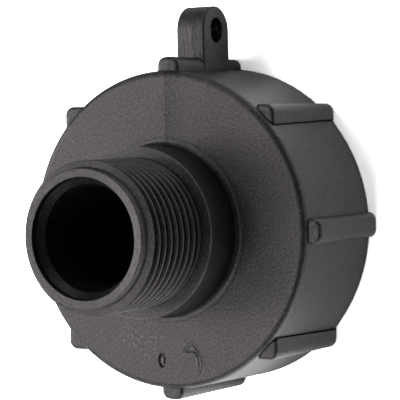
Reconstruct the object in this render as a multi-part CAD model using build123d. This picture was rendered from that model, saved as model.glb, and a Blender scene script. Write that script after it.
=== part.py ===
from build123d import *
import math
import os

# Tap adapter for a tank valve: a moulded collar with a coarse female thread, and a spigot with a fine male
# thread, drawn here at its crests. Millimetres. Z runs along the axis, the open rim of the collar is at Z = 0
# and the spigot points up.

# Coarse tank thread, 60 mm by 6 mm pitch, saw-tooth form, cut into the wall of the socket. Its last turn runs out in
# the relief, this far from the gasket.
TANK_THREAD_PITCH = 6.0
TANK_THREAD_ROOT_RADIUS = 30.3
TANK_THREAD_DEPTH = 2.6
TANK_THREAD_CREST_WIDTH = 2.2
TANK_THREAD_LOAD_FLANK = 3.0
TANK_THREAD_LEAD_FLANK = 30.0
TANK_THREAD_RUN_OUT = 4.5
SOCKET_CLEARANCE = 0.4

# Collar around the socket, a little wider at its rim than at its front
COLLAR_HEIGHT = 30.0
COLLAR_WALL = 5.5
COLLAR_TAPER = 0.5
COLLAR_EDGE_RADIUS = 1.8
RIM_EDGE_CHAMFER = 0.5
PLATE_THICKNESS = 4.5

# Grip ribs along the collar. Straight ones stand out from it and fall a little towards the rim. Between them are
# corner ones, with two walls at right angles that meet in a rounded corner.
RIB_PAIRS = 4
RIB_WIDTH = 5.7
RIB_HEIGHT = 2.9
RIB_FALL = 0.7
RIB_SETBACK = 1.6
RIB_EDGE_RADIUS = 2.0
RIB_END_CHAMFER = 0.6
RIB_ROOT_DEPTH = 1.5

# Lanyard lug, on the rib that faces +Y
LUG_THICKNESS = 7.4
LUG_AXIAL_WIDTH = 11.2
LUG_SETBACK = 13.0
LUG_HOLE_HEIGHT = 9.3
LUG_HOLE_RADIUS = 2.7
LUG_EDGE_CHAMFER = 0.4

# Flat sealing gasket, held behind the thread in the relief at the end of the socket
GASKET_WIDTH = 9.0
GASKET_THICKNESS = 3.0
GASKET_SIDE_CLEARANCE = 0.15

# Spigot, its radius taken at the crests of a 1 inch parallel pipe thread. The thread starts on a lead-in cone, and
# before it stands a short pilot, a little tapered.
SPIGOT_LENGTH = 32.4
SPIGOT_RADIUS = 16.6
PILOT_STEP = 1.5
PILOT_LENGTH = 2.0
PILOT_TAPER = 0.2
LEAD_IN_HEIGHT = 0.7

# Boss between the collar and the spigot
BOSS_HEIGHT = 11.1
BOSS_SHOULDER = 2.4
BOSS_FOOT_FILLET = 1.8

# Passage through the adapter, with a wider mouth at the spigot's end
BORE_RADIUS = 11.5
MOUTH_STEP = 1.5
MOUTH_DEPTH = 1.3
MOUTH_CONE_HEIGHT = 1.8

# How far the thread's groove is cut past its crests, and the flats that make up a turned round
CUTTER_OVERLAP = 0.25
ROUND_STEPS = 3

# Radii and heights that follow from the sizes above
TANK_THREAD_CREST_RADIUS = TANK_THREAD_ROOT_RADIUS - TANK_THREAD_DEPTH
RELIEF_RADIUS = TANK_THREAD_ROOT_RADIUS + SOCKET_CLEARANCE
COLLAR_FRONT_RADIUS = TANK_THREAD_ROOT_RADIUS + COLLAR_WALL
COLLAR_RIM_RADIUS = COLLAR_FRONT_RADIUS + COLLAR_TAPER
RIB_FOOT_RADIUS = COLLAR_FRONT_RADIUS - RIB_ROOT_DEPTH
RIB_TOP_RADIUS = COLLAR_FRONT_RADIUS + RIB_HEIGHT
RIB_FRONT_Z = COLLAR_HEIGHT - RIB_SETBACK
BOSS_RADIUS = SPIGOT_RADIUS + BOSS_SHOULDER
PILOT_RADIUS = SPIGOT_RADIUS - PILOT_STEP
MOUTH_RADIUS = BORE_RADIUS + MOUTH_STEP
SOCKET_END_Z = COLLAR_HEIGHT - PLATE_THICKNESS
TANK_THREAD_END_Z = SOCKET_END_Z - GASKET_THICKNESS - TANK_THREAD_RUN_OUT
BOSS_FACE_Z = COLLAR_HEIGHT + BOSS_HEIGHT
SPIGOT_TIP_Z = COLLAR_HEIGHT + SPIGOT_LENGTH
LEAD_IN_Z = SPIGOT_TIP_Z - PILOT_LENGTH


def revolve_outline(outline):
    """Solid of revolution about Z from a closed outline drawn on the XZ plane."""
    return revolve(make_face(outline.edges()), axis=Axis.Z)


def point(radius, height):
    return Vector(radius, 0, height)


def quarter_round(centre_radius, centre_z, size, first_angle):
    """Points on a quarter circle about a centre, anticlockwise from an angle in degrees."""
    angles = [math.radians(first_angle + step * 90 / ROUND_STEPS) for step in range(ROUND_STEPS + 1)]
    return [point(centre_radius + size * math.cos(a), centre_z + size * math.sin(a)) for a in angles]


def body_of_revolution():
    """Collar, plate, boss and spigot, with the socket and the passage, before ribs and threads."""
    edge = COLLAR_EDGE_RADIUS
    foot = BOSS_FOOT_FILLET
    outline = Polyline(
        point(COLLAR_RIM_RADIUS, RIM_EDGE_CHAMFER),
        *quarter_round(COLLAR_FRONT_RADIUS - edge, COLLAR_HEIGHT - edge, edge, 0),
        *reversed(quarter_round(BOSS_RADIUS + foot, COLLAR_HEIGHT + foot, foot, 180)),
        point(BOSS_RADIUS, BOSS_FACE_Z),
        point(SPIGOT_RADIUS, BOSS_FACE_Z),
        point(SPIGOT_RADIUS, LEAD_IN_Z - LEAD_IN_HEIGHT),
        point(PILOT_RADIUS, LEAD_IN_Z),
        point(PILOT_RADIUS - PILOT_TAPER, SPIGOT_TIP_Z),
        point(MOUTH_RADIUS, SPIGOT_TIP_Z),
        point(MOUTH_RADIUS, SPIGOT_TIP_Z - MOUTH_DEPTH),
        point(BORE_RADIUS, SPIGOT_TIP_Z - MOUTH_DEPTH - MOUTH_CONE_HEIGHT),
        point(BORE_RADIUS, SOCKET_END_Z),
        point(RELIEF_RADIUS, SOCKET_END_Z),
        point(RELIEF_RADIUS, TANK_THREAD_END_Z),
        point(TANK_THREAD_CREST_RADIUS, TANK_THREAD_END_Z),
        point(TANK_THREAD_CREST_RADIUS, RELIEF_RADIUS - TANK_THREAD_CREST_RADIUS),
        point(RELIEF_RADIUS, 0),
        point(COLLAR_RIM_RADIUS - RIM_EDGE_CHAMFER, 0),
        close=True,
    )
    return revolve_outline(outline)


def tank_thread_groove():
    """Turns of the saw-tooth groove, right-hand, from below the socket's mouth up into the relief."""
    load_slope = math.tan(math.radians(TANK_THREAD_LOAD_FLANK))
    lead_slope = math.tan(math.radians(TANK_THREAD_LEAD_FLANK))
    opening = TANK_THREAD_PITCH - TANK_THREAD_CREST_WIDTH
    inner = TANK_THREAD_CREST_RADIUS - CUTTER_OVERLAP
    profile = Polyline(
        point(inner, -CUTTER_OVERLAP * load_slope),
        point(TANK_THREAD_ROOT_RADIUS, TANK_THREAD_DEPTH * load_slope),
        point(TANK_THREAD_ROOT_RADIUS, opening - TANK_THREAD_DEPTH * lead_slope),
        point(inner, opening + CUTTER_OVERLAP * lead_slope),
        close=True,
    )
    helix = Helix(TANK_THREAD_PITCH, TANK_THREAD_PITCH, inner)
    one_turn = sweep(make_face(profile), path=helix, is_frenet=True)
    turns_in_socket = math.floor((SOCKET_END_Z - opening - CUTTER_OVERLAP) / TANK_THREAD_PITCH)
    return [Pos(0, 0, turn * TANK_THREAD_PITCH) * one_turn for turn in range(-1, turns_in_socket)]


def bevelled_end(block, outward):
    """Rib with the edges of its front end bevelled, apart from the innermost, which lies in the collar."""
    end_edges = block.faces().sort_by(Axis.Z)[-1].edges().sort_by(outward)
    return chamfer(end_edges[1:], RIB_END_CHAMFER)


def straight_rib():
    """Rib along +X, with rounded long edges."""
    side = Polyline(
        point(RIB_FOOT_RADIUS, 0),
        point(RIB_TOP_RADIUS - RIB_FALL, 0),
        point(RIB_TOP_RADIUS, RIB_FRONT_Z),
        point(RIB_FOOT_RADIUS, RIB_FRONT_Z),
        close=True,
    )
    block = extrude(make_face(side.edges()), amount=RIB_WIDTH / 2, both=True)
    top_edges = block.faces().sort_by(Axis.X)[-1].edges().sort_by(Axis.Y)
    return bevelled_end(fillet([top_edges[0], top_edges[-1]], RIB_EDGE_RADIUS), Axis.X)


def corner_rib():
    """Rib halfway between +X and +Y, with walls parallel to both and as high as the straight ribs at mid-length."""
    reach = RIB_TOP_RADIUS - RIB_FALL / 2
    side = (reach + RIB_EDGE_RADIUS * (math.sqrt(2) - 1)) / math.sqrt(2)
    foot = math.sqrt(RIB_FOOT_RADIUS**2 - side**2)
    section = Polyline((side, side), (foot, side), (side, foot), close=True)
    block = extrude(make_face(section.edges()), amount=RIB_FRONT_Z, dir=(0, 0, 1))
    outward = Axis((0, 0, 0), (1, 1, 0))
    corner = block.edges().filter_by(Axis.Z).sort_by(outward)[-1]
    return bevelled_end(fillet(corner, RIB_EDGE_RADIUS), outward)


def lanyard_lug():
    """Round-topped plate across the rib that faces +Y, with a hole for a lanyard."""
    half = LUG_AXIAL_WIDTH / 2
    centre_z = COLLAR_HEIGHT - LUG_SETBACK - half
    hole_y = COLLAR_FRONT_RADIUS + LUG_HOLE_HEIGHT
    upright = Rectangle(LUG_AXIAL_WIDTH, hole_y - RIB_FOOT_RADIUS, align=(Align.CENTER, Align.MIN))
    outline = Pos(0, RIB_FOOT_RADIUS) * upright + Pos(0, hole_y) * Circle(half)
    across = Plane(origin=(0, 0, centre_z), x_dir=(0, 0, 1), z_dir=(-1, 0, 0))
    plate = extrude(across * outline, amount=LUG_THICKNESS / 2, both=True)
    sides = plate.faces().sort_by(Axis.X)
    rims = sides[0].edges() + sides[-1].edges()
    bevelled = [edge for edge in rims if edge.center().Y > RIB_FOOT_RADIUS]
    plate = chamfer(bevelled, LUG_EDGE_CHAMFER)
    drill = Rot(0, 90, 0) * Cylinder(LUG_HOLE_RADIUS, 2 * LUG_THICKNESS)
    return plate - Pos(0, hole_y, centre_z) * drill


def adapter_body():
    pitch = 360 / RIB_PAIRS
    ribs = [Rot(0, 0, turn * pitch) * straight_rib() for turn in range(RIB_PAIRS)]
    ribs += [Rot(0, 0, (turn + 1 / 2) * pitch - 45) * corner_rib() for turn in range(RIB_PAIRS)]
    body = body_of_revolution() + ribs + lanyard_lug()
    return body - tank_thread_groove()


def sealing_gasket():
    """Flat ring that lies against the end of the socket."""
    outer_radius = RELIEF_RADIUS - GASKET_SIDE_CLEARANCE
    eye = Cylinder(outer_radius - GASKET_WIDTH, GASKET_THICKNESS)
    ring = Cylinder(outer_radius, GASKET_THICKNESS) - eye
    return Pos(0, 0, SOCKET_END_Z - GASKET_THICKNESS / 2) * ring


def write(name, solid):
    export_step(solid, os.path.join("parts", name + ".step"))


os.makedirs("parts", exist_ok=True)
write("adapter_body", adapter_body())
write("sealing_gasket", sealing_gasket())
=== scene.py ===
"""Tap adapter for a tank valve: black moulded body with its threads, and the socket's gasket."""
import math

import bmesh
import bpy
from mathutils import Matrix, Vector

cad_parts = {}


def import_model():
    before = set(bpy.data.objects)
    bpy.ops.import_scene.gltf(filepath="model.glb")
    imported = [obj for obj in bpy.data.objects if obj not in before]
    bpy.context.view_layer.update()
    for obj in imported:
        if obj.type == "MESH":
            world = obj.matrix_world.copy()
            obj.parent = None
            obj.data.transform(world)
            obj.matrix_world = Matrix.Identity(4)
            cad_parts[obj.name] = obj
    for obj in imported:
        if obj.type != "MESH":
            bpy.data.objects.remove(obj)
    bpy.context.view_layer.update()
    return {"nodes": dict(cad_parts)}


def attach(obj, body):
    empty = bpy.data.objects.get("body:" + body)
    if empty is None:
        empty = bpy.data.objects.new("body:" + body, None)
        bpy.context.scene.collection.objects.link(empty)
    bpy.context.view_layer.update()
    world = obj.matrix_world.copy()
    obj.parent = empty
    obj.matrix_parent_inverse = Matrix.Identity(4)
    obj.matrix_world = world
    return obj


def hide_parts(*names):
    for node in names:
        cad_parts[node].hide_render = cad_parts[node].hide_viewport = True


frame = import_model()

MM = 0.001

# Sizes of the body in millimetres, in the frame's coordinates: Z = 0 at the open rim, +Y towards
# the lug
RIM_RADIUS = 36.3
RIM_EDGE = 0.5
FRONT_RADIUS = 35.8
FRONT_Z = 30.0
FRONT_EDGE = 1.8
SOCKET_END_Z = 25.5
RELIEF_RADIUS = 30.7

# Ribs: straight ones fall towards the rim, corner ones have two walls at right angles with a
# small step at their foot
RIB_COUNT = 8
RIB_WIDTH = 5.7
RIB_TOP = 38.7
RIB_FALL = 0.7
RIB_END_Z = 28.4
RIB_EDGE = 2.0
RIB_END_EDGE = 1.0
RIB_RIM_EDGE = 0.3
RIB_STEP = 0.6

# How the moulding's ribs stand off their even places, anticlockwise from +X: degrees round the
# axis, how much further they reach, and how much less they fall towards the rim
RIB_TURNS = (-0.2, 0.0, -1.1, -0.6, 0.0, 0.0, 0.0, -1.3)
RIB_REACHES = (0.0, 0.0, 0.2, 0.4, 0.0, 0.5, -0.25, 0.3)
RIB_LIFTS = (0.0, 0.0, 0.4, 0.0, 0.0, 0.0, 0.9, 0.0)

LUG_THICKNESS = 7.4
LUG_HALF_WIDTH = 5.6
LUG_CENTRE_Z = 11.4
LUG_FOOT_Y = 34.3
LUG_EDGE = 0.45
LUG_HOLE_Y = 45.1
LUG_HOLE_HALF = (2.85, 2.6)

BOSS_RADIUS = 19.0
BOSS_FACE_Z = 41.1
BOSS_FOOT = 1.45
BOSS_EDGE = 0.2
FOOT_LIP = 0.1

SPIGOT_RADIUS = 16.6
LEAD_IN_Z = 59.95
PILOT_RADIUS = 15.1
PILOT_Z = 60.4
END_RADIUS = 14.9
TIP_Z = 62.4
MOUTH_RADIUS = 13.0
MOUTH_Z = 61.1
BORE_RADIUS = 11.5
BORE_Z = 59.3
SOFT_EDGE = 0.15

# Fine thread on the spigot, and coarse saw-tooth thread in the socket. A form is (share of the
# pitch, share of the depth) from crest to crest.
FINE_PITCH = 25.4 / 11
FINE_DEPTH = 1.48
FINE_TOP_Z = 59.85
FINE_FORM = ((0.0, 0.0), (0.08, 0.02), (0.16, 0.1), (0.42, 0.9),
             (0.5, 1.0), (0.58, 0.9), (0.84, 0.1), (0.92, 0.02))
COARSE_PITCH = 6.0
COARSE_DEPTH = 2.6
COARSE_CREST = 27.7
COARSE_TOP_Z = 18.0
COARSE_FORM = ((0.0, 0.0), (0.023, 1.0), (0.19, 1.0), (0.383, 1.0), (0.633, 0.0), (0.82, 0.0))

# How finely the mesh is divided: steps of a rib's corner, of the wall between two ribs and of the
# lug's round, where the bevel of a rib's end and of the lug has rows (degrees), where the rim's
# edge has its middle row (share), and where the flat front, the boss, the bore and the plate in
# the socket have rows (mm)
CORNER_STEPS = 5
WALL_STEPS = 12
LUG_STEPS = 24
RIB_POINTS = 2 * (CORNER_STEPS + 2)
RIB_END_ANGLES = (0, 22.5, 45, 67.5, 90)
LUG_EDGE_ANGLES = (0, 30, 60, 90)
RIM_EDGE_MIDDLE = 0.3
FRONT_RINGS = (31.0, 28.0, 25.0, 22.5)
BOSS_ROWS = (34.5, 37.5)
BORE_ROWS = (50.0, 40.0)
PLATE_RING = 20.0
QUARTERS = (0.25, 0.5, 0.75)

# Points nearer than this are one, edges shorter than this go (mm), and edges sharper than this
# stay sharp (degrees)
WELD = 0.002
SLIVER = 0.0005
SHARP = 34

# Gate, where the plastic ran in: its place on the front, and the pit and the torn stub there
# (shift, radii)
GATE_PLACE = (-1.4, -29.35)
GATE_PIT = ((0.0, 0.0, 0.15), (1.05, 1.75, 0.9))
GATE_STUB = ((0.1, -0.3, -0.7), (0.35, 0.95, 0.65))

# Camera, fitted to the photograph: a 2000 pixel focal length on its 400 pixel frame
CAMERA_PLACE = (239.67, 23.74, 408.46)
CAMERA_AIM = (9.56, 6.79, 30.0)
CAMERA_ROLL = 1.304
CAMERA_LENS = 180.0
CAMERA_SENSOR = 36.0
CAMERA_CLIP = (0.01, 20.0)

# Studio lamps: name, place in metres, watts
LAMP_SIZE = 0.4
LAMP_AIM = (0, 0, 0.03)
LAMPS = (
    ("left_low", (-0.9, 0.0, 0.48), 6.5),
    ("left_high", (-0.38, 0.0, 0.95), 2.2),
    ("right_high", (0.25, 0.0, 1.0), 1.5),
    ("front_left", (-0.45, -0.5, 0.78), 3.5),
    ("front", (-0.1, -0.5, 0.89), 2.8),
    ("back_left", (-0.45, 0.5, 0.78), 3.2),
    ("front_low", (0.0, -0.9, 0.48), 1.6),
    ("back_low", (0.0, 0.9, 0.48), 1.6),
)

# The sky's colour and strength in the object's light, and the floor's half width and drop in
# metres, with its grey for light and for the camera
SKY_COLOUR = (1.0, 0.99, 0.98, 1)
SKY = 0.03
FLOOR_HALF = 4.0
FLOOR_DROP = 0.0001
FLOOR_GREY = 0.8
FLOOR_WHITE = 3.0

# How bright the floor glows in the object's gloss, a painted reflection: near the collar, away
# from it, painted light added towards -Y and +Y, and the painted shadow that the lug takes away
FLOOR_GLOW_NEAR = 0.62
FLOOR_GLOW_FAR = 1.0
FLOOR_PAINTED_LIGHT_FRONT = 2.3
FLOOR_PAINTED_LIGHT_BACK = 0.9
FLOOR_LUG_SHADOW = 0.4


# Body grid: every row has one point for each column round the axis. The last column is the first
# again, a turn further on, so that a helix's rows meet the rows one pitch above them.


def wall_radius(z):
    """Radius of the collar's wall, which narrows to its front and rounds over into it."""
    low, high = RIM_EDGE, FRONT_Z - FRONT_EDGE
    radius = RIM_RADIUS - (RIM_RADIUS - FRONT_RADIUS) * min((z - low) / (high - low), 1.0)
    if z > high:
        radius += math.sqrt(FRONT_EDGE ** 2 - (z - high) ** 2) - FRONT_EDGE
    return radius


def arc(radius, centre, start, stop, steps):
    """Points of a circle from one angle to another, in degrees."""
    angles = [math.radians(start + (stop - start) * step / steps) for step in range(steps + 1)]
    return [(centre[0] + radius * math.cos(a), centre[1] + radius * math.sin(a)) for a in angles]


def straight_outline(rib, inset, wall, z):
    """Section of a straight rib from foot to foot, as (distance from the axis, sideways)."""
    half = RIB_WIDTH / 2 - inset
    top = RIB_TOP + RIB_REACHES[rib] - (RIB_FALL - RIB_LIFTS[rib]) * (1 - z / RIB_END_Z) - inset
    foot = math.sqrt(wall ** 2 - half ** 2)
    corner = min(RIB_EDGE - inset, top - foot - SOFT_EDGE)
    left = arc(corner, (top - corner, corner - half), start=-90, stop=0, steps=CORNER_STEPS)
    left.insert(0, (foot, -half))
    return left + [(x, -y) for x, y in reversed(left)]


def corner_outline(rib, inset, wall):
    """Section of a corner rib: walls at 45 degrees to its middle, each with a step at its foot."""
    reach = RIB_TOP + RIB_REACHES[rib] - RIB_FALL / 2
    side = (reach + RIB_EDGE * (math.sqrt(2) - 1)) / math.sqrt(2) - inset
    corner = RIB_EDGE - inset
    centre = ((side - corner) * math.sqrt(2), 0)
    points = arc(corner, centre, start=5, stop=45, steps=CORNER_STEPS - 1)
    slope = math.sqrt(0.5)
    meet = math.radians(45) - math.acos(side / wall)
    x = wall * math.cos(meet) + RIB_STEP * slope
    y = wall * math.sin(meet) - RIB_STEP * slope
    middle = (x + y) * slope
    drop = middle - math.sqrt(wall ** 2 - (x ** 2 + y ** 2 - middle ** 2))
    half = points + [(x, y), (x - drop * slope, y - drop * slope)]
    return [(x, -y) for x, y in reversed(half)] + half


def rib_outline(sector, inset, wall, z):
    """Section of the rib in a sector; every second rib is a corner rib."""
    rib = sector % RIB_COUNT
    return corner_outline(rib, inset, wall) if rib % 2 else straight_outline(rib, inset, wall, z)


def rib_angle(sector):
    """Angle of a rib's middle round the axis."""
    return 2 * math.pi * sector / RIB_COUNT + math.radians(RIB_TURNS[sector % RIB_COUNT])


def half_angle(sector, inset=0.0):
    """Half the angle that a rib takes up at its foot."""
    foot = rib_outline(sector, inset, FRONT_RADIUS, RIB_END_Z)[-1]
    return math.atan2(foot[1], foot[0])


def columns():
    """(sector, place in the rib's outline or None, share of the way across the rib or the wall)."""
    made = []
    for sector in range(RIB_COUNT):
        made += [(sector, place, place / (RIB_POINTS - 1)) for place in range(RIB_POINTS)]
        made += [(sector, None, step / WALL_STEPS) for step in range(1, WALL_STEPS)]
    return made + [(RIB_COUNT, 0, 0.0)]


COLUMNS = columns()
HALF_ANGLES = [half_angle(sector) for sector in range(RIB_COUNT + 1)]


def column_angle(column, inset=0.0):
    """Angle of a column round the axis."""
    sector, place, share = column
    if place is None:
        start = rib_angle(sector) + HALF_ANGLES[sector]
        return start + share * (rib_angle(sector + 1) - HALF_ANGLES[sector + 1] - start)
    half = half_angle(sector, inset) if inset else HALF_ANGLES[sector]
    return rib_angle(sector) + half * (2 * share - 1)


def ring(radius, z, inset=0.0):
    """Plain circle."""
    angles = [column_angle(column, inset) for column in COLUMNS]
    return [Vector((radius * math.cos(a), radius * math.sin(a), z)) for a in angles]


def ribbed(wall, z, inset, rib_z=None):
    """Circle of the wall with the ribs' outlines on it."""
    rib_z = z if rib_z is None else rib_z
    outlines = [rib_outline(rib, inset, wall, rib_z) for rib in range(RIB_COUNT)]
    row = []
    for column in COLUMNS:
        sector, place, _ = column
        if place is None:
            angle = column_angle(column)
            row.append(Vector((wall * math.cos(angle), wall * math.sin(angle), z)))
        else:
            x, y = outlines[sector % RIB_COUNT][place]
            a = rib_angle(sector)
            row.append(Vector((x * math.cos(a) - y * math.sin(a),
                               x * math.sin(a) + y * math.cos(a), rib_z)))
    return row


def form_depth(form, share):
    """Depth of a thread's form at a share of its pitch."""
    share %= 1.0
    points = list(form) + [(1.0, form[0][1])]
    for (a, depth_a), (b, depth_b) in zip(points, points[1:]):
        if a <= share <= b:
            return depth_a + (depth_b - depth_a) * (share - a) / (b - a)
    return 0.0


def threaded(form, pitch, low, high, radius_at):
    """Rows up a right-hand helix between two heights, with a radius for a depth and a height."""
    rows = []
    first = math.floor(low / pitch) - 2
    last = math.ceil(high / pitch) + 2
    for turn in range(first, last):
        for share, _ in form:
            row = []
            for column in COLUMNS:
                angle = column_angle(column)
                lead = pitch * angle / (2 * math.pi)
                z = min(max((turn + share) * pitch + lead, low), high)
                radius = radius_at(form_depth(form, (z - lead) / pitch), z)
                row.append(Vector((radius * math.cos(angle), radius * math.sin(angle), z)))
            rows.append(row)
    return rows


def arc_rings(radius, z, size, start, stop, steps):
    """Rings on an arc of the section, angles in degrees from outwards to upwards."""
    return [ring(*point) for point in arc(size, (radius, z), start, stop, steps)]


def outside_rows():
    """From the rim up the wall with its ribs, over the front and up the boss."""
    wall_edge, rib_edge = RIM_EDGE_MIDDLE * RIM_EDGE, RIM_EDGE_MIDDLE * RIB_RIM_EDGE
    rows = [
        ribbed(RIM_RADIUS - RIM_EDGE, 0.0, RIB_RIM_EDGE),
        ribbed(RIM_RADIUS - wall_edge, wall_edge, rib_edge, rib_edge),
        ribbed(RIM_RADIUS, RIM_EDGE, 0.0, RIB_RIM_EDGE),
    ]
    for share in QUARTERS:
        z = RIM_EDGE + share * (RIB_END_Z - RIB_END_EDGE - RIM_EDGE)
        rows.append(ribbed(wall_radius(z), z, 0.0))
    for angle in RIB_END_ANGLES:
        inset = RIB_END_EDGE * (1 - math.cos(math.radians(angle)))
        z = RIB_END_Z - RIB_END_EDGE * (1 - math.sin(math.radians(angle)))
        rows.append(ribbed(wall_radius(z), z, inset))
    rows.append(ring(wall_radius(RIB_END_Z), RIB_END_Z, RIB_END_EDGE))
    rows += arc_rings(FRONT_RADIUS - FRONT_EDGE, FRONT_Z - FRONT_EDGE, FRONT_EDGE,
                      start=15, stop=90, steps=8)
    rows += [ring(radius, FRONT_Z) for radius in FRONT_RINGS]
    foot = BOSS_RADIUS + BOSS_FOOT
    rows.append(ring(foot + 3 * FOOT_LIP, FRONT_Z))
    rows.append(ring(foot + 2 * FOOT_LIP, FRONT_Z + FOOT_LIP))
    rows += arc_rings(foot, FRONT_Z + BOSS_FOOT, BOSS_FOOT, start=250, stop=180, steps=7)
    rows += [ring(BOSS_RADIUS, z) for z in BOSS_ROWS]
    rows += arc_rings(BOSS_RADIUS - BOSS_EDGE, BOSS_FACE_Z - BOSS_EDGE, BOSS_EDGE,
                      start=0, stop=90, steps=4)
    return rows


def spigot_rows():
    """Up the fine thread, over the lead-in cone, the pilot and the end face, and down the bore."""
    rows = threaded(FINE_FORM, FINE_PITCH, BOSS_FACE_Z, FINE_TOP_Z,
                    lambda depth, z: SPIGOT_RADIUS - FINE_DEPTH * depth)
    section = [
        (SPIGOT_RADIUS, FINE_TOP_Z), (SPIGOT_RADIUS, LEAD_IN_Z),
        (SPIGOT_RADIUS - SOFT_EDGE, LEAD_IN_Z + SOFT_EDGE),
        (PILOT_RADIUS + SOFT_EDGE, PILOT_Z), (PILOT_RADIUS, PILOT_Z + SOFT_EDGE),
        (END_RADIUS, TIP_Z - SOFT_EDGE), (END_RADIUS - SOFT_EDGE, TIP_Z),
        (MOUTH_RADIUS + SOFT_EDGE, TIP_Z), (MOUTH_RADIUS, TIP_Z - SOFT_EDGE),
        (MOUTH_RADIUS, MOUTH_Z + SOFT_EDGE), (MOUTH_RADIUS - SOFT_EDGE, MOUTH_Z - SOFT_EDGE),
        (BORE_RADIUS + SOFT_EDGE, BORE_Z + SOFT_EDGE), (BORE_RADIUS, BORE_Z - SOFT_EDGE),
    ]
    section += [(BORE_RADIUS, z) for z in BORE_ROWS + (SOCKET_END_Z + SOFT_EDGE,)]
    return rows + [ring(*point) for point in section]


def socket_rows():
    """Downwards: the plate's inner face, the relief, the coarse thread and its lead-in."""
    radii = (BORE_RADIUS + SOFT_EDGE, PLATE_RING, RELIEF_RADIUS)
    plate = [ring(radius, SOCKET_END_Z) for radius in radii]
    thread = threaded(COARSE_FORM, COARSE_PITCH, 0.0, COARSE_TOP_Z,
                      lambda depth, z: max(COARSE_CREST + COARSE_DEPTH * depth,
                                           RELIEF_RADIUS - z))
    return plate + [ring(RELIEF_RADIUS, COARSE_TOP_Z)] + list(reversed(thread))


def add_object(name, data):
    """Object for a datablock, in the scene."""
    thing = bpy.data.objects.new(name, data)
    bpy.context.scene.collection.objects.link(thing)
    return thing


def add_mesh(name, work):
    """Object for a mesh in the works, which is freed."""
    mesh = bpy.data.meshes.new(name)
    work.to_mesh(mesh)
    work.free()
    return add_object(name, mesh)


def grid_mesh(name, rows):
    """Closed mesh from rows of points, each joined to the next and the last to the first."""
    work = bmesh.new()
    lattice = [[work.verts.new(point * MM) for point in row] for row in rows]
    for row, after in zip(lattice, lattice[1:] + lattice[:1]):
        for i in range(len(row) - 1):
            work.faces.new((row[i], row[i + 1], after[i + 1], after[i]))
    bmesh.ops.remove_doubles(work, verts=work.verts, dist=WELD * MM)
    bmesh.ops.dissolve_degenerate(work, edges=work.edges, dist=SLIVER * MM)
    bmesh.ops.recalc_face_normals(work, faces=work.faces)
    return add_mesh(name, work)


def lug_outline(inset):
    """Outline of the lug in (Y, Z), a full round over straight sides, as points in a loop."""
    half = LUG_HALF_WIDTH - inset
    drop = LUG_HOLE_Y - LUG_FOOT_Y
    points = arc(half, (LUG_HOLE_Y, LUG_CENTRE_Z), start=-90, stop=90, steps=LUG_STEPS)
    points += [(LUG_HOLE_Y - drop * share, LUG_CENTRE_Z + half) for share in QUARTERS + (1.0,)]
    points += [(LUG_FOOT_Y, LUG_CENTRE_Z + half * share) for share in (0.5, 0.0, -0.5)]
    points += [(LUG_HOLE_Y - drop * share, LUG_CENTRE_Z - half)
               for share in (1.0,) + QUARTERS[::-1]]
    return points


def lug_hole(outline, grow):
    """Points of the hole's edge in the directions of the outline's points."""
    points = []
    for y, z in outline:
        angle = math.atan2(z - LUG_CENTRE_Z, y - LUG_HOLE_Y)
        points.append((LUG_HOLE_Y + (LUG_HOLE_HALF[0] + grow) * math.cos(angle),
                       LUG_CENTRE_Z + (LUG_HOLE_HALF[1] + grow) * math.sin(angle)))
    return points


def lug():
    """Lug for a lanyard, bevelled all round, with its hole along X."""
    half = LUG_THICKNESS / 2
    outline = lug_outline(0.0)
    bevel = []
    for angle in LUG_EDGE_ANGLES:
        inset = LUG_EDGE * (1 - math.cos(math.radians(angle)))
        bevel.append((lug_outline(inset), half - LUG_EDGE * (1 - math.sin(math.radians(angle)))))
    sections = [(points, -x) for points, x in reversed(bevel)] + bevel
    for grow, x in ((SOFT_EDGE, half), (0.0, half - SOFT_EDGE),
                    (0.0, -half + SOFT_EDGE), (SOFT_EDGE, -half)):
        sections.append((lug_hole(outline, grow), x))
    return grid_mesh("lug", [[Vector((x, y, z)) for y, z in points + points[:1]]
                             for points, x in sections])


def apply_modifiers(piece):
    """The mesh that the modifiers make takes the place of the old one."""
    graph = bpy.context.evaluated_depsgraph_get()
    mesh = bpy.data.meshes.new_from_object(piece.evaluated_get(graph))
    old = piece.data
    piece.modifiers.clear()
    piece.data = mesh
    bpy.data.meshes.remove(old)


def merge(piece, other, operation):
    """Boolean of two closed meshes, applied to the first; the second is deleted."""
    cut = piece.modifiers.new("join", "BOOLEAN")
    cut.operation = operation
    cut.object = other
    cut.solver = "EXACT"
    apply_modifiers(piece)
    bpy.data.objects.remove(other)


def smooth(piece, angle):
    """Smooth shading that keeps edges sharper than an angle, with weighted normals for flat faces.

    The weights are areas, which the modifier tells apart in square millimetres only."""
    piece.data.shade_smooth()
    piece.data.set_sharp_from_angle(angle=math.radians(angle))
    piece.data.transform(Matrix.Scale(1 / MM, 4))
    weighted = piece.modifiers.new("weighted_normals", "WEIGHTED_NORMAL")
    weighted.keep_sharp = True
    apply_modifiers(piece)
    piece.data.transform(Matrix.Scale(MM, 4))


def pebble(name, shift, radii):
    """Ellipsoid at a shift from the gate's place on the front."""
    centre = [place + offset for place, offset in zip(GATE_PLACE + (FRONT_Z,), shift)]
    work = bmesh.new()
    bmesh.ops.create_icosphere(work, subdivisions=3, radius=1.0)
    for vert in work.verts:
        vert.co = Vector([(c + r * v) * MM for c, r, v in zip(centre, radii, vert.co)])
    return add_mesh(name, work)


body = grid_mesh("moulded_body", outside_rows() + spigot_rows() + socket_rows())
merge(body, lug(), "UNION")
merge(body, pebble("pit", *GATE_PIT), "DIFFERENCE")
merge(body, pebble("stub", *GATE_STUB), "UNION")
smooth(body, SHARP)


# Materials


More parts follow.
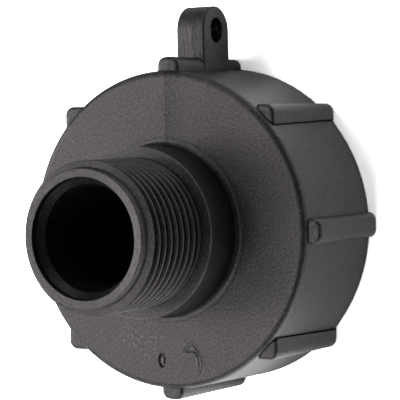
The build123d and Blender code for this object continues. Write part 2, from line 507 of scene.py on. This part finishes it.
class Nodes:
    """Short way to add and wire the nodes of one material or world."""

    def __init__(self, owner):
        self.owner = owner
        owner.use_nodes = True
        self.tree = owner.node_tree
        self.tree.nodes.clear()

    def add(self, kind, inputs=None, **settings):
        node = self.tree.nodes.new(kind)
        for key, value in settings.items():
            setattr(node, key, value)
        for key, value in (inputs or {}).items():
            if isinstance(value, bpy.types.NodeSocket):
                self.tree.links.new(value, node.inputs[key])
            else:
                node.inputs[key].default_value = value
        return node

    def math(self, operation, a, b=0.0):
        return self.add("ShaderNodeMath", {0: a, 1: b}, operation=operation).outputs[0]

    def product(self, *parts):
        result = parts[0]
        for part in parts[1:]:
            result = self.math("MULTIPLY", result, part)
        return result

    def total(self, *parts):
        """Sum of values, each times its weight."""
        result = 0.0
        for value, weight in parts:
            inputs = {0: value, 1: weight, 2: result}
            result = self.add("ShaderNodeMath", inputs, operation="MULTIPLY_ADD").outputs[0]
        return result

    def ramp(self, value, low, high, to_low=0.0, to_high=1.0):
        """A value's stretch from low to high, brought to 0 to 1 or other ends, and held there."""
        ends = {"From Min": low, "From Max": high, "To Min": to_low, "To Max": to_high}
        return self.add("ShaderNodeMapRange", {"Value": value, **ends}).outputs["Result"]

    def vector(self, operation, a, b, output="Vector"):
        return self.add("ShaderNodeVectorMath", {0: a, 1: b}, operation=operation).outputs[output]

    def distance(self, place, point):
        return self.vector("DISTANCE", place, point, "Value")

    def millimetres(self):
        """Place on the object."""
        place = self.add("ShaderNodeTexCoord").outputs["Object"]
        return self.vector("MULTIPLY", place, (1 / MM,) * 3)

    def axes(self, place):
        return self.add("ShaderNodeSeparateXYZ", {0: place}).outputs

    def noise(self, place, scale, detail, roughness):
        inputs = {"Vector": place, "Scale": scale, "Detail": detail, "Roughness": roughness}
        return self.add("ShaderNodeTexNoise", inputs).outputs["Fac"]

    def mix(self, factor, a, b):
        """From one colour to another."""
        node = self.add("ShaderNodeMix", {"Factor": factor, "A": a, "B": b}, data_type="RGBA")
        return node.outputs["Result"]

    def finish(self, kind, shader):
        self.add(kind, {"Surface": shader.outputs[0]})
        return self.owner


# Marks on the plastic, in millimetres. A fade is (where nothing is left, where the mark is in
# full), with its strength at both ends if that isn't 0 and 1. A noise is (scale, detail,
# roughness), and a cut is the stretch of the noise that becomes the edge of a spot.
FRONT_FADE = (0.25, 0.15)
PATCH_PLACE = (-6.6, -24.4)
PATCH_FADE = (7.0, 3.0)
PATCH_STRETCH = (1.25, 0.75, 1.0)
PATCH_NOISE = (1.3, 2.0, 0.6)
PATCH_CUT = (0.55, 0.63)
SWIRL_PLACE = (6.0, -29.4)
SWIRL_WAVE = 0.95
SWIRL_WARP = 2.4
SWIRL_WARP_SCALE = 0.45
SWIRL_WARP_DETAIL = 2.0
SWIRL_OUTER_FADE = (4.6, 3.4)
SWIRL_INNER_FADE = (1.6, 2.4)
SWIRL_LEAN = 0.8
SWIRL_SIDE_FADE = (4.2, 7.2)
STUB_DEPTH = 0.2
STUB_FADE = (1.1, 0.7)
STUB_NOISE = (2.2, 2.0, 0.6)
STUB_CUT = (0.48, 0.58)
SCUFF_PLACE = (20.5, 3.5)
SCUFF_FADE = (11.0, 4.0)
SCUFF_STRETCH = (0.9, 2.6, 1.0)
SCUFF_NOISE = (1.1, 2.0, 0.6)
SCUFF_CUT = (0.70, 0.74)
SPECK_NOISE = (1.5, 1.0, 0.5)
SPECK_CUT = (0.72, 0.76)

# Parting line of the mould: a strip of the front right of it is duller
PARTING_X = 0.8
PARTING_EDGE = 0.15
PARTING_FADE_X = (7.0, 1.0)
PARTING_FADE_Y = (16.0, 20.0)

# Streaks on the lug, above the rib, and painted shade on its hole's wall, as less gloss
STREAK_STRETCH = (1.6, 0.1, 0.1)
STREAK_NOISE = (1.0, 2.0, 0.6)
STREAK_FADE_Y = (38.6, 39.4)
HOLE_FADE = (3.0, 2.9)
HOLE_FADE_X = (3.68, 3.4)

# Painted highlight on the boss's edge and paler crests of the fine thread: how far from the boss's
# edge, with the strength there, how deep below the crests and from which height. Painted light on
# the end face: how far below it, and how it grows towards +X
PALE_EDGE_NOISE = (0.8, 3.0, 0.7)
PALE_EDGE_CUT = (0.3, 0.7)
BOSS_HIGHLIGHT = (0.35, 0.1, 0.0, 4.0)
PALE_CREST_DEPTHS = (0.25, 0.05)
PALE_CREST_Z = (42.0, 43.0)
END_DEPTHS = (0.2, 0.05)
END_LIGHT_FADE_X = (2.0, 13.0, 0.0, 0.45)
END_NOISE = (1.6, 3.0, 0.7)
END_CUT = (0.25, 0.75)

# Painted shade in the fine thread's grooves, as less gloss: depths below the crests, the passage's
# side, and the thread's two ends
GROOVE_SHADE_DEPTHS = (0.2, 1.2)
GROOVE_SHADE_INNER = (13.5, 14.5)
GROOVE_SHADE_START = (0.1, 0.3)
GROOVE_SHADE_STOP = 0.1

# The plastic itself: noises of its tone and its grain, its colours, the pale colour of wear and of
# painted highlights, the gloss's tint of painted lamp colour, its roughness and gloss, and how much
# each mark raises it (mm), pales it and changes its gloss
CLOUD_NOISE = (0.12, 5.0, 0.6)
GRAIN_NOISE = (2.0, 3.0, 0.75)
SPREAD = (0.3, 0.7)
PLASTIC_DARK = (0.0032, 0.003, 0.003, 1)
PLASTIC_LIGHT = (0.0052, 0.0048, 0.0048, 1)
# Pale colour of real marks, and of the painted highlight and painted light
PLASTIC_WEAR_AND_HIGHLIGHT = (0.15, 0.14, 0.135, 1)
# Warm tint of the gloss: painted lamp colour
PAINTED_LAMP_TINT = (1.0, 0.92, 0.93, 1)
ROUGHNESS = (0.38, 0.46)
GRAIN_ROUGHNESS = (-0.04, 0.04)
GRAIN_GLOSS = (0.24, 0.76)
RAISED = {"grain": 0.1, "torn": 0.05, "swirl": 0.08, "streak": 0.3}
# Paling of the boss's edge and the end face is painted highlight and painted light; specks, scuffs,
# the stub and the paler crests are marks on the plastic
PALED = {"specks": 0.35, "scuffs": 0.5, "boss_highlight_and_pale_crests": 0.13, "end_face_painted_light": 1.0, "stub": 2.0}
# The marks of the thread's grooves and of the lug's hole lower the gloss there: painted shade
GLOSSED = {"seam": -0.14, "swirl": 0.12, "torn": 0.34, "groove_shade": -0.36, "hole_shade": -0.42}

RUBBER_SCALE = 900.0
RUBBER_DETAIL = 4.0
RUBBER_DARK = (0.02, 0.02, 0.02, 1)
RUBBER_LIGHT = (0.04, 0.04, 0.04, 1)
RUBBER_ROUGHNESS = 0.75
RUBBER_BUMP = (0.2, 0.0002)


def spots(n, place, noise, cut, stretch=None):
    """Noise cut to spots."""
    if stretch:
        place = n.vector("MULTIPLY", place, stretch)
    return n.ramp(n.noise(place, *noise), *cut)


def swirl_waves(n, place, x, y):
    """Bent arcs on the upper right of the swirl's place. The warp's mean is half its strength."""
    warp = n.add("ShaderNodeTexNoise", {"Vector": place, "Scale": SWIRL_WARP_SCALE,
                                        "Detail": SWIRL_WARP_DETAIL})
    shift = n.vector("MULTIPLY", warp.outputs["Color"], (SWIRL_WARP, SWIRL_WARP, 0))
    centre = (SWIRL_PLACE[0] + SWIRL_WARP / 2, SWIRL_PLACE[1] + SWIRL_WARP / 2, FRONT_Z)
    away = n.distance(n.vector("ADD", place, shift), centre)
    side = n.total((x, 1.0), (n.math("SUBTRACT", y, SWIRL_PLACE[1]), SWIRL_LEAN))
    wave = n.math("SINE", n.math("MULTIPLY", away, 2 * math.pi / SWIRL_WAVE))
    return n.product(wave, n.ramp(away, *SWIRL_OUTER_FADE), n.ramp(away, *SWIRL_INNER_FADE),
                     n.ramp(side, *SWIRL_SIDE_FADE))


def front_marks(n, place, x, y, z):
    """Marks on the front: patch, swirl, torn stub, scuffs, and the strip at the parting line."""
    front = n.ramp(n.math("ABSOLUTE", n.math("SUBTRACT", z, FRONT_Z)), *FRONT_FADE)
    stub_x, stub_y = (at + shift for at, shift in zip(GATE_PLACE, GATE_STUB[0]))
    from_stub = n.distance(place, (stub_x, stub_y, FRONT_Z - STUB_DEPTH))
    from_patch = n.distance(place, PATCH_PLACE + (FRONT_Z,))
    from_scuffs = n.distance(place, SCUFF_PLACE + (FRONT_Z,))
    return {
        "torn": n.product(front, n.ramp(from_patch, *PATCH_FADE),
                          spots(n, place, PATCH_NOISE, PATCH_CUT, PATCH_STRETCH)),
        "swirl": n.product(front, swirl_waves(n, place, x, y)),
        "stub": n.product(n.ramp(from_stub, *STUB_FADE), spots(n, place, STUB_NOISE, STUB_CUT)),
        "scuffs": n.product(front, n.ramp(from_scuffs, *SCUFF_FADE),
                            spots(n, place, SCUFF_NOISE, SCUFF_CUT, SCUFF_STRETCH)),
        "seam": n.product(n.ramp(x, PARTING_X - PARTING_EDGE, PARTING_X + PARTING_EDGE),
                          n.ramp(x, *PARTING_FADE_X), n.ramp(y, *PARTING_FADE_Y)),
    }


def lug_marks(n, place, x, y):
    """Streaks along the lug, and painted shade on the wall of its hole, as less gloss."""
    streak = n.noise(n.vector("MULTIPLY", place, STREAK_STRETCH), *STREAK_NOISE)
    side_view = n.vector("MULTIPLY", place, (0, 1, 1))
    from_hole = n.distance(side_view, (0, LUG_HOLE_Y, LUG_CENTRE_Z))
    return {
        "streak": n.product(n.math("SUBTRACT", streak, 0.5), n.ramp(y, *STREAK_FADE_Y)),
        # Painted shade on the hole's wall, as less gloss
        "hole_shade": n.product(n.ramp(from_hole, *HOLE_FADE),
                             n.ramp(n.math("ABSOLUTE", x), *HOLE_FADE_X)),
    }


def spigot_marks(n, place, x, z):
    """Painted highlight on the boss's edge, paler thread crests, painted light on the end face, and
    painted shade in the thread's grooves.
    """
    across = n.distance(n.vector("MULTIPLY", place, (1, 1, 0)), (0, 0, 0))
    section = n.add("ShaderNodeCombineXYZ", {0: across, 1: z}).outputs[0]
    # Painted highlight along the boss's edge; the thread's crests are paler too
    boss_edge_highlight = n.ramp(n.distance(section, (BOSS_RADIUS, BOSS_FACE_Z, 0)), *BOSS_HIGHLIGHT)
    crests = n.product(n.ramp(across, *(SPIGOT_RADIUS - depth for depth in PALE_CREST_DEPTHS)),
                       n.ramp(z, *PALE_CREST_Z))
    return {
        "boss_highlight_and_pale_crests": n.product(n.math("MAXIMUM", boss_edge_highlight, crests),
                            spots(n, place, PALE_EDGE_NOISE, PALE_EDGE_CUT)),
        # Painted light: the end face paler towards +X, in a mottle
        "end_face_painted_light": n.product(n.ramp(z, *(TIP_Z - depth for depth in END_DEPTHS)),
                              n.ramp(x, *END_LIGHT_FADE_X), spots(n, place, END_NOISE, END_CUT)),
        # Painted shade in the thread's grooves, as less gloss
        "groove_shade": n.product(n.ramp(across, *(SPIGOT_RADIUS - depth for depth in GROOVE_SHADE_DEPTHS)),
                            n.ramp(across, *GROOVE_SHADE_INNER),
                            n.ramp(z, *(BOSS_FACE_Z + rise for rise in GROOVE_SHADE_START)),
                            n.ramp(z, LEAD_IN_Z + GROOVE_SHADE_STOP, LEAD_IN_Z)),
    }


def black_plastic():
    """Black polypropylene: satin, with a moulded grain, pale specks and the mould's marks."""
    n = Nodes(bpy.data.materials.new("black_polypropylene"))
    place = n.millimetres()
    x, y, z = n.axes(place)
    cloud = n.noise(place, *CLOUD_NOISE)
    grain = n.noise(place, *GRAIN_NOISE)
    marks = {"grain": grain, "specks": spots(n, place, SPECK_NOISE, SPECK_CUT)}
    marks.update(front_marks(n, place, x, y, z))
    marks.update(lug_marks(n, place, x, y))
    marks.update(spigot_marks(n, place, x, z))

    def weighed(weights):
        return [(marks[mark], weight) for mark, weight in weights.items()]

    height = n.total(*weighed(RAISED))
    bump = n.add("ShaderNodeBump", {"Height": height, "Strength": 1.0, "Distance": MM})
    tone = n.mix(cloud, PLASTIC_DARK, PLASTIC_LIGHT)
    rough = n.ramp(cloud, *SPREAD, *ROUGHNESS)
    gloss = n.ramp(grain, *SPREAD, *GRAIN_GLOSS)
    shader = n.add("ShaderNodeBsdfPrincipled", {
        "Base Color": n.mix(n.total(*weighed(PALED)), tone, PLASTIC_WEAR_AND_HIGHLIGHT),
        "Roughness": n.math("ADD", rough, n.ramp(grain, *SPREAD, *GRAIN_ROUGHNESS)),
        "Specular IOR Level": n.total((gloss, 1.0), *weighed(GLOSSED)),
        # The gloss's warm tint is painted lamp colour
        "Specular Tint": PAINTED_LAMP_TINT,
        "Normal": bump.outputs["Normal"],
    })
    return n.finish("ShaderNodeOutputMaterial", shader)


def gasket_rubber():
    """Dull black rubber with a fine moulded grain."""
    n = Nodes(bpy.data.materials.new("gasket_rubber"))
    place = n.add("ShaderNodeTexCoord").outputs["Object"]
    noise = n.add("ShaderNodeTexNoise", {"Vector": place, "Scale": RUBBER_SCALE,
                                         "Detail": RUBBER_DETAIL})
    grain = noise.outputs["Fac"]
    strength, height = RUBBER_BUMP
    bump = n.add("ShaderNodeBump", {"Height": grain, "Strength": strength, "Distance": height})
    shader = n.add("ShaderNodeBsdfPrincipled", {
        "Base Color": n.mix(grain, RUBBER_DARK, RUBBER_LIGHT),
        "Roughness": RUBBER_ROUGHNESS,
        "Normal": bump.outputs["Normal"],
    })
    return n.finish("ShaderNodeOutputMaterial", shader)


body.data.materials.clear()
body.data.materials.append(black_plastic())
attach(body, "root")
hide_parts("adapter_body")

gasket = frame["nodes"]["sealing_gasket"]
rubber = gasket_rubber()
for gasket_slot in gasket.material_slots:
    gasket_slot.material = rubber


# Floor, light and camera

# Where the floor's painted glow in the gloss changes, in millimetres: out from the rim, and towards
# -Y, +Y and the lug's painted shadow
FLOOR_NEAR_EDGE = (-0.5, 1.0)
FLOOR_FAR_EDGE = (4.0, 16.0)
FLOOR_FRONT_Y = (-37.0, -47.0)
FLOOR_FRONT_X = (4.0, 20.0, 0.5, 1.0)
FLOOR_BACK_Y = (34.0, 46.0)
FLOOR_BACK_X = (12.0, 18.0)
FLOOR_LUG_Y = (34.0, 38.0)
FLOOR_LUG_X = (16.0, 10.0)


def floor_material():
    """Pale floor: white to the camera with the object's shadow on it. In the gloss it is a painted
    reflection, a glow with painted shade: dark under the collar, dimmer near the rim and by the
    lug, and brighter towards -Y and +Y."""
    n = Nodes(bpy.data.materials.new("pale_floor"))
    path = n.add("ShaderNodeLightPath")
    grey, white = (FLOOR_GREY,) * 3 + (1,), (FLOOR_WHITE,) * 3 + (1,)
    tone = n.mix(path.outputs["Is Camera Ray"], grey, white)
    plain = n.add("ShaderNodeBsdfDiffuse", {"Color": tone})
    place = n.millimetres()
    away = n.distance(place, (0, 0, 0))
    x, y, _ = n.axes(place)
    # Painted reflection: a glow seen only in the gloss, with painted shade near the rim and by the
    # lug
    light = n.total(
        (n.ramp(away, *(RIM_RADIUS + edge for edge in FLOOR_NEAR_EDGE)), FLOOR_GLOW_NEAR),
        (n.ramp(away, *(RIM_RADIUS + edge for edge in FLOOR_FAR_EDGE)), FLOOR_GLOW_FAR - FLOOR_GLOW_NEAR),
        (n.product(n.ramp(y, *FLOOR_FRONT_Y), n.ramp(x, *FLOOR_FRONT_X)), FLOOR_PAINTED_LIGHT_FRONT),
        (n.product(n.ramp(x, *FLOOR_BACK_X), n.ramp(y, *FLOOR_BACK_Y)), FLOOR_PAINTED_LIGHT_BACK),
        (n.product(n.ramp(x, *FLOOR_LUG_X), n.ramp(y, *FLOOR_LUG_Y)), -FLOOR_LUG_SHADOW),
    )
    glow = n.add("ShaderNodeEmission", {"Strength": light})
    mirrored = n.math("MAXIMUM", path.outputs["Is Glossy Ray"], path.outputs["Is Transmission Ray"])
    shader = n.add("ShaderNodeMixShader", {0: mirrored, 1: plain.outputs[0], 2: glow.outputs[0]})
    return n.finish("ShaderNodeOutputMaterial", shader)


def floor():
    """Flat sheet just under the rim."""
    mesh = bpy.data.meshes.new("floor")
    corners = [(-1, -1), (1, -1), (1, 1), (-1, 1)]
    mesh.from_pydata([(FLOOR_HALF * x, FLOOR_HALF * y, 0) for x, y in corners], [], [(0, 1, 2, 3)])
    mesh.materials.append(floor_material())
    sheet = add_object("floor", mesh)
    sheet.location.z = -FLOOR_DROP


def world():
    """White to the camera, and a faint sky in the object's light."""
    n = Nodes(bpy.data.worlds.new("studio"))
    path = n.add("ShaderNodeLightPath")
    lit = n.add("ShaderNodeBackground", {"Color": SKY_COLOUR, "Strength": SKY})
    seen = n.add("ShaderNodeBackground", {"Color": (1, 1, 1, 1)})
    shader = n.add("ShaderNodeMixShader", {0: path.outputs["Is Camera Ray"], 1: lit.outputs[0],
                                           2: seen.outputs[0]})
    bpy.context.scene.world = n.finish("ShaderNodeOutputWorld", shader)


def area_light(name, place, power):
    """Square soft box that faces the object."""
    data = bpy.data.lights.new(name, "AREA")
    data.shape = "SQUARE"
    data.size = LAMP_SIZE
    data.energy = power
    lamp = add_object(name, data)
    lamp.location = place
    lamp.rotation_mode = "QUATERNION"
    lamp.rotation_quaternion = (Vector(LAMP_AIM) - Vector(place)).to_track_quat("-Z", "Y")
    lamp.visible_camera = False


def camera():
    """Camera with +Y upright in the picture but for its roll."""
    data = bpy.data.cameras.new("camera")
    data.lens = CAMERA_LENS
    data.sensor_width = CAMERA_SENSOR
    data.clip_start, data.clip_end = CAMERA_CLIP
    place = Vector(CAMERA_PLACE) * MM
    forward = (Vector(CAMERA_AIM) * MM - place).normalized()
    up = Vector((0, 1, 0))
    up = (up - up.dot(forward) * forward).normalized()
    right = forward.cross(up)
    turn = Matrix.Rotation(math.radians(CAMERA_ROLL), 3, forward)
    right, up = turn @ right, turn @ up
    view = add_object("camera", data)
    view.matrix_world = Matrix.LocRotScale(place, Matrix((right, up, -forward)).transposed(), None)
    bpy.context.scene.camera = view


floor()
world()
for lamp in LAMPS:
    area_light(*lamp)
camera()

bpy.context.scene.view_settings.view_transform = "Standard"
